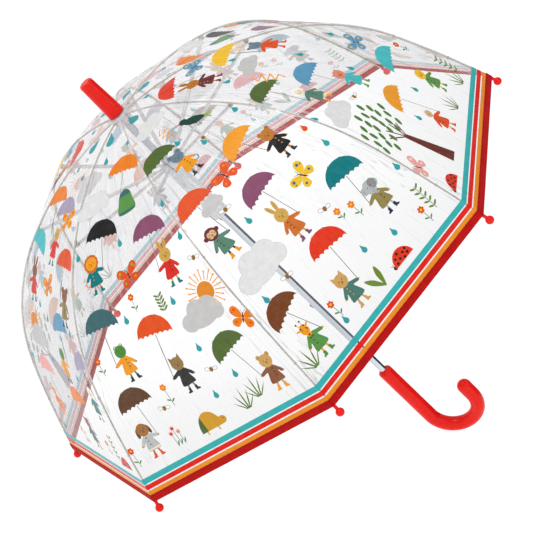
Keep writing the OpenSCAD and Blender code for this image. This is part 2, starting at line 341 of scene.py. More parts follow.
def ink():
    mat = Mat("print_ink")
    printed = mat.new("Attribute", attribute_name="ink").outputs["Color"]
    mottle = mat.ramp(mat.noise(130, 5, 0.65), [(0.25, (0.84, 0.84, 0.84, 1)), (0.75, (1, 1, 1, 1))])
    # the print is a little paler on the inside of the film
    inside = mat.mapped(mat.new("NewGeometry").outputs["Backfacing"], 0, 0.45)
    outer = mat.blend(1, printed, mottle, "MULTIPLY")
    mat.paint(Base_Color=mat.blend(inside, outer, (0.93, 0.93, 1, 1)),
              Roughness=mat.mapped(mat.noise(80), 0.2, 0.36), Specular_IOR_Level=0.08)
    mat.bump(mat.noise(45, 3, 0.5), 0.3, 0.0012)
    return mat.see_through(mat.mapped(mat.noise(160, 4, 0.7), 0.98, 1, 0.3, 0.6), (0.97, 0.97, 0.97, 1))


def fabric(name, dark, light):
    mat = Mat(name)
    coordinates = mat.new("TexCoord").outputs["Object"]
    threads = []
    for axis in ("X", "Y", "Z"):
        wave = mat.new("TexWave", bands_direction=axis, Vector=coordinates, Scale=260,
                       Distortion=0.6, Detail=1)
        threads.append(wave.outputs["Fac"])
    cloth = mat.shades(mat.noise(90, 5, 0.7), dark, light, 0.25)
    mat.paint(Base_Color=cloth, Roughness=0.7, Sheen_Weight=0.05, Specular_IOR_Level=0.2)
    mat.bump(mat.math("MULTIPLY_ADD", *threads), 0.45, 0.00012)
    # thin cloth lets some light through
    through = mat.new("BsdfTranslucent", Color=cloth)
    mat.shader_mix(0.4, mat.shader, through, "Material Output")
    return mat.material


ALONG_Z = (1, 1, 0.05)
M = {
    "film": film("clear_film", 0.09, (0.06, 0.16)),
    "seam": film("welded_seam", 0.22, (0.08, 0.2)),
    "ink": ink(),
    "binding": fabric("hem_fabric", "c00612", "de150e"),
    "thread": fabric("hem_thread", "b40a0c", "cc1410"),
    "tie": fabric("tie_thread", "d9d6cf", "efece6"),
    "red": plastic("red_plastic", "e01004", "ea1808", 0.2),
    "crown": plastic("pale_plastic", "d6d9dc", "e4e7ea", 0.3),
    "milky": misty("milky_plastic", "e2e7ea", "f4f6f8", (0.22, 0.38), (0.72, 0.88), (0.9, 0.93, 0.95, 1)),
    "clear": misty("clear_plastic", "e2e6e8", "f3f5f6", (0.08, 0.2), (0.3, 0.42), (0.95, 0.96, 0.97, 1)),
    "chrome": metal("shaft_metal", "bcc3cc", "dde2e8", (0.07, 0.14), stretch=ALONG_Z),
    "rib": metal("rib_metal", "a49a84", "c9bfa8", (0.35, 0.55), 0.25),
    "stretcher": metal("stretcher_metal", "cfd0cf", "ebebe9", (0.3, 0.5), 0.35),
    "wire": metal("wire_metal", "83868c", "a9adb3", (0.25, 0.4)),
}
CAD_LOOKS = {
    "red": ["handle", "ferrule_cap"] + [f"tip_{n}" for n in range(1, RIBS + 1)],
    "chrome": ["shaft_tube"],
    "clear": ["canopy_washer"],
    "crown": ["crown"],
    "milky": ["runner"],
    "wire": ["crown_wire", "crown_rivet", "runner_wire", "top_catch", "bottom_catch"],
}
for look, names in CAD_LOOKS.items():
    for name in names:
        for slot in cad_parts[name].material_slots:
            slot.material = M[look]


# ---- printed pictures, flat, in mm
colour_words = """
teal 08787c drop 329fa5 red e0361a flame e2501a orange ec7f17 amber f09c22 yellow f2c030 sun e08a2c
olive 92834a green 589447 pine 1e463a lime 8fae3c leaf 546a32 plant 6c8732 grass 5c7c2c
foliage 4e7f30 black 1c1b1c coal 383836 purple 8a4e6c lilac a79cb6 brown 76401f umber 62432f
trunk 6c2c20 russet 8c5839 maroon 6e2e34 tan bc7424 sand cca05c fawn 96784a chestnut a5703f beige dcb383
cream f4e3c4 grey b2b7b9 ash 8b8b8b cloud c6c5c3 mist e2e2e1 haze cdccc8 steel 3f686c
blue 5c98ba navy 2c2a44 aqua 45bcc0 pink e08d72 rose f2a6a0 white fbfbf8 mustard d0a650 gold a5762a
rust c9662a dark 2b2522 stick 77706a slate 6f8391 tawny cf6f2f sea 4b786c sage 5a8570
silver bcbfbb frog 4c8c3a shell d09b2c wing b3aeac band_teal 35aeae band_red e01f14 band_orange ea8f22
scarlet d82a20
""".split()
COLOURS = {name: srgb(code) for name, code in zip(colour_words[::2], colour_words[1::2])}


def shade(name, tone):
    """A darker or lighter version of a colour, under its own name."""
    key = f"{name}*{tone}"
    COLOURS.setdefault(key, [min(1, v * tone) for v in COLOURS[name][:3]] + [1])
    return key


class Sketch:
    """Collects flat outlines in painter's order."""
    def __init__(self):
        self.shapes = []
        self.home()

    def home(self):
        self.place = Matrix.Identity(3)

    def at(self, x, y, turn=0, size=1, flip=False):
        """Draws at a place from here on, given from the last one, until home."""
        c, s = (v * size for v in turned(turn))
        f = -1 if flip else 1
        self.place = self.place @ Matrix(((c * f, -s, x), (s * f, c, y), (0, 0, 1)))

    def poly(self, points, colour):
        out = [(self.place @ Vector((x, y, 1)))[:2] for x, y in points]
        area = sum(a[0] * b[1] - b[0] * a[1] for a, b in zip(out, out[1:] + out[:1]))
        self.shapes.append((out if area > 0 else out[::-1], colour))

    def oval(self, x, y, rx, ry, colour, count=16, turn=0):
        tc, ts = turned(turn)
        self.poly([(x + rx * c * tc - ry * s * ts, y + rx * c * ts + ry * s * tc)
                   for c, s in circle(count)], colour)

    def twins(self, x, y, rx, ry, colour, count=16, turn=0):
        """An oval on each side of the middle line."""
        for side in (-1, 1):
            self.oval(x * side, y, rx, ry, colour, count, turn * side)

    def line(self, a, b, width, colour):
        a, b = Vector(a), Vector(b)
        along = (b - a).normalized() * width
        across = along.orthogonal() / 2
        end = along * 0.35
        self.poly([a - across, a - end, a + across, b + across, b + end, b - across], colour)

    def smooth(self, points, colour, steps=3):
        """A closed curve through the points."""
        out = []
        count = len(points)
        for i in range(count):
            a, b, c, d = (Vector(points[(i + j - 1) % count]) for j in range(4))
            for j in range(steps):
                t = j / steps
                out.append(0.5 * (2 * b + (c - a) * t + (2 * a - 5 * b + 4 * c - d) * t * t
                                  + (3 * b - a - 3 * c + d) * t ** 3))
        self.poly(out, colour)


def umbrella(sk, x, y, colour, hand):
    """A small open umbrella: x, y is the middle of its hem, and its stick ends in the hand."""
    sk.at(x, y, -degrees(atan2(x - hand[0], y - hand[1])))
    sk.line((0, 2), (0, -hypot(x - hand[0], y - hand[1])), 0.75, "stick")
    width, height = 23.5, 24
    dome = [(width * c, height * s ** 0.92) for c, s in circle(44)[:23]]
    for i in range(1, 28):
        scallop = (i - 1) // 4
        rise = 2.2 * sin(pi * (i - 4 * scallop) / 4)
        dome.append((width * (i / 14 - 1), (1 - (scallop - 3) ** 2 / 14) * 1.2 + rise))
    sk.poly(dome, colour)
    # streaks of darker and lighter cloth from the hem to the top
    for share, tone in ((-0.62, 0.9), (-0.22, 1.12), (0.2, 0.9), (0.6, 1.1)):
        streak = [(width * share * c ** 0.5, 3.5 + 20.8 * s) for c, s in circle(32)[:8]]
        right = [(px + 0.3, py) for px, py in streak[::-1]]
        sk.poly([(px - 0.6, py) for px, py in streak] + right, shade(colour, tone))


# ears: x, y and radius, or a triangle; faces: two radii; all from the middle of the head
ROUND_EARS = {"bear": (6.3, 6.6, 2.9), "mouse": (6.3, 6.6, 4), "monkey": (8.8, 0, 2.8),
              "elephant": (7.8, 0.5, 4.8)}
POINTED_EARS = {"cat": ((3, 6.6), (7.2, 11), (7.9, 3.5)), "pig": ((2.5, 6), (7.6, 8.2), (6.6, 3))}
FACES = {"sheep": (5.6, 6.2), "giraffe": (5.4, 7), "frog": (8.2, 7.6), "elephant": (8.2, 8.6)}
MUZZLES = {"pig": (-1.8, 2.5, 1.8, "flame", 12), "duck": (-1.6, 3.8, 1.5, "orange", 14)}
BOOTS = dict(scarlet="teal", amber="coal", green="frog", teal="teal", tawny="purple",
             black="coal", aqua="green", maroon="maroon", olive="navy", russet="amber",
             coal="coal", sage="amber", silver="flame", flame="flame")
LEFT_BOOT = ((1.5, -19.4), (1.5, -21.2), (1.6, -22.6), (-4, -22.4), (-4.6, -21))
RIGHT_BOOT = ((1.9, -19.4), (4.6, -21.2), (4, -22.6), (-1.6, -22.4), (-1.5, -21))


def figure(sk, x, y, kind, coat, fur, flip):
    """A plain animal in a coat, about 45 mm tall; x, y is the middle of the head."""
    sk.at(x, y - 14.4, 0, 0.96, flip)
    if kind in ("mouse", "lion"):
        sk.smooth([(6, -9), (13, -11), (15.5, -5), (14, -5), (12.3, -9.6), (7, -7.4)], fur, 4)
    for side, boot in ((-1, LEFT_BOOT), (1, RIGHT_BOOT)):
        sk.line((3.2 * side, -11), (4.6 * side, -18.2), 2.5, fur)
        outline = ((-1.7, -16.4), (1.7, -16.2), *boot, (-2, -19.4))
        sk.poly([(4.6 * side + px, py) for px, py in outline], BOOTS.get(coat, fur))
    sk.oval(-15.2, 1.6, 1.5, 1.5, fur, 10)
    sk.oval(12.6, -3.2, 1.5, 1.5, fur, 10)
    sk.smooth([(-3.5, 8.4), (3.5, 8.4), (7, 5.5), (12.8, -1.2), (10.6, -4.4), (6.6, -0.6), (9.6, -11.6),
               (3.6, -12.6), (-3.2, -13.2), (-10, -11.4), (-6.6, 0.6), (-8.6, 1.4), (-14, 0),
               (-15, 3.4), (-8, 6.6)], coat)
    sk.line((0.4, 6.5), (0.2, -12.4), 0.35, shade(coat, 0.55))
    sk.line((5.6, 0), (8.4, -10.6), 0.4, shade(coat, 0.7))
    sk.line((-5.4, 0), (-8.2, -10.6), 0.4, shade(coat, 0.7))
    button = "sand" if coat in ("black", "maroon", "sea", "teal", "aqua") else "dark"
    for height in (4.2, -0.4, -5):
        sk.oval(2.1, height, 0.85, 0.85, button, 8)
    if kind == "dog":
        sk.poly([(-9.6, -9.8), (9.3, -9.8), (9.8, -11.8), (-10.2, -11.8)], "cream")
    # the head, from its own middle
    sk.at(0, 15)
    if kind == "lion":
        sk.poly([((10.6 + 0.8 * (i % 2)) * c, (10.6 + 0.8 * (i % 2)) * s)
                 for i, (c, s) in enumerate(circle(24))], "rust")
    if kind in ROUND_EARS:
        ear_x, ear_y, r = ROUND_EARS[kind]
        sk.twins(ear_x, ear_y, r, r * 1.05, fur, 12)
        sk.twins(ear_x, ear_y, r * 0.5, r * 0.55, shade(fur, 0.75), 10)
    if kind in POINTED_EARS:
        for side in (-1, 1):
            ear = [(px * side, py) for px, py in POINTED_EARS[kind]]
            sk.poly(ear, fur if kind == "cat" else shade(fur, 0.85))
    if kind == "rabbit":
        sk.twins(3.8, 12.4, 2.5, 7.6, fur, 14, -14)
        sk.twins(3.9, 12.4, 1, 5, shade(fur, 0.85), 10, -14)
    if kind == "dog":
        sk.twins(8, -2, 2.6, 6.6, "umber", 12, 12)
    if kind == "giraffe":
        sk.poly([(-2.8, -9), (2.8, -9), (2.6, 2), (-2.6, 2)], fur)
        for side in (-1, 1):
            sk.line((2 * side, 5), (2.8 * side, 10.5), 0.9, fur)
        sk.twins(2.9, 10.8, 1.2, 1.2, "brown", 8)
        sk.twins(6.4, 3.4, 2.8, 1.2, fur, 10, 24)
    if kind == "frog":
        sk.twins(4.4, 6.2, 2.4, 2.4, shade(fur, 0.8), 12)
        sk.twins(4.4, 6.6, 1.2, 1.2, "white", 10)
    if kind == "sheep":
        for c, s in circle(16)[-1:] + circle(16)[:10]:
            sk.oval(6.2 * c, 1 + 6 * s, 2.6, 2.6, "white", 10)
    sk.oval(0, 0, *FACES.get(kind, (8.4, 8.2)), "amber" if kind == "lion" else fur, 22)
    if kind == "monkey":
        sk.twins(2.2, -0.4, 3.6, 4.6, "beige", 14)
    if kind in MUZZLES:
        sk.oval(0, *MUZZLES[kind])
    if kind == "elephant":
        sk.oval(5.4, 1.4, 5.2, 6.4, "ash", 18)
        trunk = [(-2, -1), (2, -1), (2.1, -8), (4.6, -10.4), (3.4, -12), (-0.4, -9.6)]
        sk.smooth(trunk, shade(fur, 0.9))
    if kind == "giraffe":
        for px, py in ((-3, 4.6), (2.8, 3.6), (-3.6, -1), (0.4, -7.4), (-1.2, -11)):
            sk.oval(px, py, 1.3, 1.2, "brown", 8)
    eye_x, eye_y = (3.2, 1.6) if kind == "frog" else (2.5, 0.9)
    sk.twins(eye_x, eye_y, 0.62, 0.75, "dark", 8)
    if kind not in ("frog", "giraffe", "elephant", "pig", "duck"):
        sk.oval(0, -1.2, 0.95, 0.7, "dark", 8)
        sk.line((0, -1.4), (0, -3), 0.35, "dark")
    if kind not in ("mouse", "sheep", "elephant", "pig", "duck"):
        sk.line((-1.6, -3.2), (1.6, -3.2), 0.4, "dark")
    sk.twins(4.4, -1.5, 1, 0.7, shade(fur, 0.82), 8)


def drop(sk, size=1, colour="drop"):
    sk.at(0, 0, 0, size)
    sk.smooth([(0, 5.8), (1.2, 2.4), (3.2, -1.4), (2.5, -4.2), (0, -5.4), (-2.5, -4.2), (-3.2, -1.4),
               (-1.2, 2.4)], colour)


def cloud(sk, size, colour):
    """Five round lumps on a flat base, 56 mm wide at size 1, with a thin darker edge."""
    sk.at(0, 0, 0, size)
    for grow, tone in ((0.5, "haze"), (0, colour)):
        for x, y, rx, ry in ((-17, -4, 11, 10), (-3, 4, 13, 13), (12, 4, 12, 11), (19, -5, 9.5, 8.5),
                             (0, -7, 19, 8)):
            sk.oval(x, y, rx + grow, ry + grow, tone, 22)


def sun(sk):
    for i, (c, s) in enumerate(circle(22)):
        end = 24 if i % 2 else 21.5
        sk.line((12.5 * c, 12.5 * s), (end * c, end * s), 1.15, "amber")
        sk.oval(end * c, end * s, 1.15, 1.15, "amber", 9)
    sk.oval(0, 0, 11, 11, "sun", 28)


def butterfly(sk, colour, spot="yellow", turn=20):
    sk.at(0, 0, turn)
    upper = ((0.5, 1), (4.4, 9.4), (10, 13), (14.6, 11), (15.2, 5.4), (9, 0.8))
    lower = ((0.5, -0.4), (8, -0.4), (12.4, -3.6), (11.6, -8.6), (6, -10.6), (2.4, -6))
    for side in (-1, 1):
        for wing in (upper, lower):
            sk.smooth([(x * side, y) for x, y in wing], colour)
        for x, y, r in ((10.2, 8.6, 1.9), (12.6, 5.6, 1.1), (8.2, -5, 1.6)):
            sk.oval(x * side, y, r, r, spot, 10)
        sk.line((0.3 * side, 5), (2.8 * side, 9.6), 0.45, "dark")
    sk.oval(0, 0.4, 0.85, 6.4, "dark", 12)


def bee(sk):
    sk.at(0, 0, -15)
    sk.twins(4.9, 0.8, 3.4, 2.5, "wing", 14, 14)
    sk.twins(4.9, 0.8, 2.7, 1.8, "white", 14, 14)
    sk.oval(0, 0, 2.3, 3.1, "gold", 14)
    for y in (-1.1, 0.9):
        sk.poly([(-2, y - 0.35), (2, y - 0.35), (2, y + 0.35), (-2, y + 0.35)], "umber")


def ladybug(sk):
    """A spotted dome, 29 mm long, flat side down."""
    sk.at(0, 0, 0, 1.15)
    sk.oval(-12.4, 1.6, 2.2, 2, "black", 12)
    for x in (-15, -12.6):
        sk.line((-12.6, 2.6), (x, 6.2), 0.45, "black")
    sk.poly([(12.5 * c, 13 * s) for c, s in circle(40)[:21]], "red")
    for x, y in ((-7.6, 2.6), (-6.6, 7), (-2.6, 4), (-1.8, 9.6), (2, 1.8), (3.4, 6.4), (7, 3.2),
                 (7.6, 7.4)):
        sk.oval(x, y, 1.4, 1.4, "black", 9)


def grass(sk):
    """Five pointed blades, the middle one 28 mm long."""
    for i in range(-2, 3):
        length = 27.6 * (1 - 0.14 * abs(i))
        c, s = turned(24 * i)
        tip = (length * s, length * c - 12)
        foot = 1.1 * i
        x, y = (foot + tip[0]) / 2, (tip[1] - 12) / 2
        sk.poly([(foot - 0.9, -12), (foot + 0.9, -12), (x + 0.9, y), tip, (x - 0.9, y)], "grass")


def sprig(sk, height):
    sk.line((0, -height / 2), (0, height / 2), 0.6, "pine")
    for i in range(5):
        sk.twins(3.1, height * ((i + 0.8) / 5 - 0.5), 3.3, 1.25, "plant", 12, 36)


def flower(sk, colour, height=20):
    sk.line((0, -height / 2), (0, height / 2 - 2), 0.6, "pine")
    sk.oval(2.6, -height / 4, 2.8, 1, "green", 10, 35)
    sk.oval(-2.6, 2 - height / 4, 2.8, 1, "green", 10, -215)
    sk.at(0, height / 2 - 2)
    for i, (c, s) in enumerate(circle(6)):
        sk.oval(2.6 * c, 2.6 * s, 1.8, 1.5, colour, 10, 60 * i)
    sk.oval(0, 0, 1.4, 1.4, "yellow", 10)


def tulips(sk):
    for x, top, colour in ((-5, 5, "flame"), (0, 10, "red"), (5, 4, "pink")):
        sk.line((x, -10), (x, top), 0.6, "pine")
        cup = ((-2, 0), (2, 0), (2.6, 5), (1.1, 3), (0, 5.4), (-1.1, 3), (-2.6, 5))
        sk.poly([(x + px, top + py) for px, py in cup], colour)
        sk.oval(x + 1.8, -6, 3.6, 1, "green", 10, 60)


def bolt(sk, size=1):
    """A thin zigzag."""
    sk.at(0, 0, 0, size)
    corners = [(1, 14), (-5, 8), (5, 7), (-6, 1), (5, 0), (-4, -6), (4, -7), (1, -13)]
    for a, b in zip(corners, corners[1:]):
        sk.line(a, b, 1.1, "amber")


def beetle(sk):
    """A plain domed beetle with a small head, 38 mm long."""
    for x in (-9, 7):
        sk.line((x, -11), (x + 0.6, -15), 1.6, "shell")
    sk.oval(16.5, -6, 5.4, 4.8, "shell", 16)
    sk.oval(18.4, -4.8, 0.7, 0.8, "dark", 8)
    dome = [(15.5 * c, -11 + 22 * s) for c, s in circle(36)[:19]]
    sk.poly(dome, "shell")
    sk.poly([p for p in dome if p[0] < -7] + [(-7, -11)], "leaf")


def tree(sk):
    """A leaning trunk with four twigs and a round crown of separate leaves."""
    sk.poly([(-9, 0), (9, 0), (-5, 62), (-12, 62)], "trunk")
    for x, y in ((-26, 80), (-16, 86), (-2, 84), (6, 76)):
        sk.line((-8.5, 60), (x, y), 1.8, "trunk")
    golden_angle = 2.39996
    for i in range(26):
        reach = 40 * sqrt((i + 0.5) / 26)
        x = -12 + reach * cos(golden_angle * i)
        y = 92 + 0.8 * reach * sin(golden_angle * i)
        if y >= 70 or abs(x + 10) >= 12:
            sk.oval(x, y, 6, 2.7, "foliage", 12, 62 + 10 * sin(3 * i))


def bird(sk, turn):
    """A plain bird on the wing, 38 mm long."""
    sk.at(0, 0, turn)
    for y in (-4, 0, 4):
        sk.line((12, 0), (22, y), 1.7, "lime")
    for x in (2, 6):
        sk.line((x, -4), (x + 3, -11), 0.5, "dark")
    sk.smooth([(-13, 2), (-4, 6), (8, 4), (14, 0), (6, -5), (-4, -5.6), (-12, -2)], "pine")
    sk.oval(-13, 2.6, 5.2, 4.6, "pine", 16)
    sk.poly([(-17.4, 3.6), (-17, 0.6), (-22.5, 0.4)], "red")


def cape(sk):
    """A plain hooded cape seen from behind, 31 mm tall."""
    sk.smooth([(-12, -15), (12, -15), (10.5, 0), (7.5, 10), (0, 15.5), (-7.5, 10), (-10.5, 0)], "green", 4)
    sk.poly([(-12, -15.5), (12, -15.5), (11.6, -12.5), (-11.6, -12.5)], "steel")
    sk.poly([(-9, 6.5), (9, 6.5), (6, 11.5), (0, 14.8), (-6, 11.5)], "steel")


def two_leaves(sk):
    for turn in (34, -48):
        sk.at(0, 0, turn)
        sk.smooth([(0, -1), (2.6, 9), (3, 17), (0, 25), (-3, 17), (-2.6, 9)], "plant")


def table(text):
    """Rows of words parted by commas, with the numbers among them as numbers."""
    return [[float(word) if word.strip("-.").replace(".", "").isdigit() else word for word in row.split()]
            for row in text.split(",")]


# the people of each panel, in mm on the panel: an umbrella's x, y and colour, then either where its
# stick ends, or the head x, y, kind, coat and fur of the figure that holds it
FIGURES = {
    6: """
31 256 amber 54 241 bear black tan, -1 201 purple -10 171 rabbit tawny mustard,
68 141 teal 75 116 elephant olive grey, -4 107 red -25 77 cat sea sand,
-56 249 flame -72 218 monkey sage maroon, -88 99 brown -91 75 giraffe green amber,
-33 328 leaf -20 315 mouse amber slate""",
    5: """
20 358 orange 12 326, -24 292 black -46 272 lion teal orange,
42 262 purple 53 234 rabbit scarlet mustard, -62 197 steel -54 167 frog amber frog,
-3 162 flame 1 124 cat coal fawn, 70 106 leaf 97 79 bear russet sand,
-75 104 umber -88 79 dog silver chestnut""",
    7: """
-12 218 blue -2 191 pig aqua pink, -52 262 leaf -50 231 sheep sage cream,
64 130 aqua 60 95 duck green yellow, -5 114 amber -7 79 sheep flame beige,
-4 384 red -12 361 rabbit maroon tan, 34 320 yellow 44 293 bear flame slate""",
    4: """
-22 344 orange -10 306, -44 288 aqua -44 261 rabbit scarlet russet,
14 334 lilac 8 311 cat scarlet mustard, 50 276 flame 62 247 mouse olive russet,
40 200 blue 30 173 frog amber frog, 94 164 lilac 90 135 sheep teal cream,
-52 132 rose -68 103 giraffe orange amber, 30 108 orange 20 79 bear steel russet""",
}
# what else stands there: its kind, x, y and what that kind's function still wants, where a row
# without a kind is one more of the kind before it
EXTRAS = {
    6: """
cloud -68 156 1.2 mist, -46 240 0.55 cloud, -2 388 0.8 mist, bird 27 333 -40,
butterfly -10 248 flame orange 12, 40 180 yellow teal 30, two_leaves 4 36, ladybug 39 37,
sprig 106 62 34, flower 47 112 orange, 31 122 orange 14, 92 49 flame, -52 62 flame, bee 25 139,
-41 223, -58 125, 14 304, drop 83 213 0.95 flame, 84 184, 18 80, 54 66, -54 48, -36 196, -92 128,
bolt -3 352, drop -1 428 2.1, 10 300, 60 296, 112 108, grass -112 52, drop -6 330""",
    5: """
drop -3 426 2.1, cloud -29 340 0.9 mist, butterfly -1 235 flame lime 8, bee 86 214, sun 81 176,
cloud 62 158 1 cloud, butterfly 104 131 orange flame -30, cape 20 320, flower -32 98 orange 26,
-118 54 red 24, tulips -54 52, flower -88 162 flame, -10 205 flame, sprig 24 190 20, bee -46 88,
34 100, beetle -8 52, grass 46 54, 66 60, drop 0 276, -62 288, 70 290, 80 244, 38 186, -28 194, 36 128,
56 84, 20 74, -6 392, 28 402""",
    7: """
bolt -24 268 1.4, cloud -75 184 0.9 mist, tree -60 42, ladybug -106 36, bee -36 170,
butterfly 26 366 blue, 70 178 blue, -112 84 rose cream, drop 3 428, 27 100, -24 92, grass 34 54,
drop 20 318, -24 318, cloud 4 296 0.7 cloud, drop 74 210, 16 180, sprig 106 62 34, flower 96 122 red,
drop -96 210, 24 240, grass 88 50""",
    4: """
butterfly 28 330 amber flame, 6 250 orange yellow, sun -50 200, cloud -44 182 0.9 cloud,
drop 0 424 2.1, -4 392, 20 384, 0 212, 74 206, -12 160, -96 150, bee -12 108, grass -104 52,
tulips -22 50, flower 62 54 red, ladybug 100 37, sprig 82 60 34, drop 62 150, -24 226""",
}
DRAW = {draw.__name__: draw for draw in (
    drop, butterfly, cloud, flower, sprig, two_leaves, grass, bird, sun, bee, ladybug, tulips, bolt, beetle,
    tree, cape)}
LAYOUT = {1: 5, 2: 6, 3: 4, 4: 7, 5: 4, 6: 5, 7: 6, 8: 7}


def pictures(panel):
    """Every print on a panel, as outlines; panels 1 to 4 carry the others' prints turned over."""
    sk = Sketch()
    flip = panel <= 4
    mirror = -1 if flip else 1
    people = table(FIGURES[LAYOUT[panel]])
    for x, y, colour, end_x, end_y, *who in people:
        if who:
            end_x += 14 if x > end_x else -14
            end_y -= 13
        umbrella(sk, mirror * x, y, colour, (mirror * end_x, end_y))
        sk.home()
    for x, _, _, head_x, head_y, *who in people:
        if who:
            figure(sk, mirror * head_x, head_y, *who, (x > head_x) != flip)
            sk.home()
    for row in table(EXTRAS[LAYOUT[panel]]):
        if isinstance(row[0], str):
            kind = row.pop(0)
        x, y, *more = row
        sk.at(mirror * x, y, flip=flip)
        DRAW[kind](sk, *more)
        sk.home()
    return sk.shapes


HEM = 8.3  # how far the binding reaches up the film
BANDS = ((HEM - 1.5, 13.4, "band_orange"), (15, 20.8, "band_red"), (22.2, 29, "band_teal"))
BAND_REACH = 150
SEAM_WIDTH = 3.6
FILM_ROWS = 118
FILM_STEP = 5
REGION = 0  # the number of a half panel's own outline


def outlines(panel, side, shapes):
    """A half panel's outlines in painter's order with their colours, and points to fill it with."""
    rows = np.linspace(0, PANEL_LENGTH, FILM_ROWS)
    widths = half_width(rows)
    edge = [(side * width, y) for width, y in zip(widths, rows)]
    inner = [(side * max(width - SEAM_WIDTH, 0.2), y) for width, y in zip(widths, rows)]
    found = [([(0, y) for y in rows[::-1]] + edge, None), (edge + inner[::-1], "seam")]
    if side < 0:
        found = [(points[::-1], colour) for points, colour in found]
    for low, high, colour in BANDS:
        corners = [(-BAND_REACH, low), (BAND_REACH, low), (BAND_REACH, high), (-BAND_REACH, high)]
        found.append((corners, colour))
    for points, colour in shapes:
        reach = [side * p[0] for p in points]
        if min(reach) < BAND_REACH and max(reach) > 0:
            found.append((points, colour))
    filling = []
    for j in range(1, FILM_ROWS - 1):
        count = max(2, int(widths[j] / FILM_STEP))
        shift = 0.3 if j % 2 else 0
        filling += [Vector((side * widths[j] * (i + shift) / count, rows[j])) for i in range(1, count)]
    return found, filling


def new_mesh(name, points, faces, looks, slots):
    """A smooth mesh with the materials of these looks, and a slot for each face."""
    mesh = bpy.data.meshes.new(name)
    mesh.from_pydata(points, [], faces)
    for look in looks:
        mesh.materials.append(M[look])
    mesh.polygons.foreach_set("material_index", slots)
    mesh.polygons.foreach_set("use_smooth", [True] * len(slots))
    mesh.update()
    return mesh


def film_half(panel, side, shapes):
    """The film from the middle of a panel to one rib, as one mesh with the prints in it."""
    found, filling = outlines(panel, side, shapes)
    points = []
    faces = []
    for outline, _ in found:
        faces.append(list(range(len(points), len(points) + len(outline))))
        points += [Vector((round(p[0], 4), round(p[1], 4))) for p in outline]
    cut = delaunay_2d_cdt(points + filling, [], faces, 0, 1e-5, True)
    flat_points, cut_faces, sources = cut[0], cut[2], cut[5]
    used = {}
    triangles = []
    looks = []
    for face, source in zip(cut_faces, sources):
        if REGION not in source:
            continue
        numbers = [used.setdefault(v, len(used)) for v in face]
        a, b, c = (flat_points[v] for v in face)
        area = (b.x - a.x) * (c.y - a.y) - (c.x - a.x) * (b.y - a.y)
        if abs(area) < 1e-9:
            continue
        triangles.append(numbers if area > 0 else numbers[::-1])
        looks.append(found[max(source)][1])
    kept = [flat_points[v] for v in used]
    slots = [{None: 0, "seam": 1}.get(look, 2) for look in looks]
    places = [on_film(panel, p.x, p.y) for p in kept]
    mesh = new_mesh("film", places, triangles, ("film", "seam", "ink"), slots)
    # the panel's own map: across in half widths, up in decimetres, so creases close up at the crown
    mapped = [(1.35 * p.x / max(float(half_width(p.y)), 0.5) + 4 * panel, p.y / 100) for p in kept]
    uv_layer = mesh.uv_layers.new(name="panel")
    uv_layer.data.foreach_set("uv", [v for face in triangles for corner in face for v in mapped[corner]])
    loose = mesh.attributes.new("loose", "FLOAT", "POINT")
    loose.data.foreach_set("value", [looseness(p.x, p.y) for p in kept])
    inks = [COLOURS.get(look, (1, 1, 1, 1)) for look in looks]
    ink_layer = mesh.attributes.new("ink", "FLOAT_COLOR", "CORNER")
    ink_layer.data.foreach_set("color", [v for ink in inks for v in ink * 3])
    return mesh


# ---- solid pieces
def loft(rings):
    """The points and faces of a closed skin over rings of points, capped at both ends."""
    count = len(rings[0])
    points = [p for ring in rings for p in ring]
    faces = []
    for i in range(len(rings) - 1):
        for j in range(count):
            a = i * count + j
            b = i * count + (j + 1) % count
            faces.append((a, b, b + count, a + count))
    faces.append(tuple(range(count))[::-1])
    faces.append(tuple(range(len(points) - count, len(points))))
    return points, faces


def joined(name, parts, looks):
    """One mesh from parts, each a skin and the number of its look."""
    points = []
    faces = []
    slots = []
    for (part_points, part_faces), slot in parts:
        faces += [tuple(v + len(points) for v in face) for face in part_faces]
        points += part_points
        slots += [slot] * len(part_faces)
    mesh = new_mesh(name, points, faces, looks, slots)
    mesh.validate()
    # every closed skin faces outwards
    work = bmesh.new()
    work.from_mesh(mesh)
    bmesh.ops.recalc_face_normals(work, faces=work.faces)
    work.to_mesh(mesh)
    work.free()
    mesh.update()
    return mesh


def rod(line, radii, count, side):
    """A round rod along a line, with a radius for each of its points."""
    rings = []
    for i, point in enumerate(line):
        along = (line[min(i + 1, len(line) - 1)] - line[max(i - 1, 0)]).normalized()
        across = along.cross(side).normalized()
        other = across.cross(along)
        rings.append([point + across * radii[i] * c + other * radii[i] * s for c, s in circle(count)])
    return loft(rings)


STITCH_STEP = 3.4
STITCH_LENGTH = 2
THREAD_RADIUS = 0.22
HEM_STEPS = 54


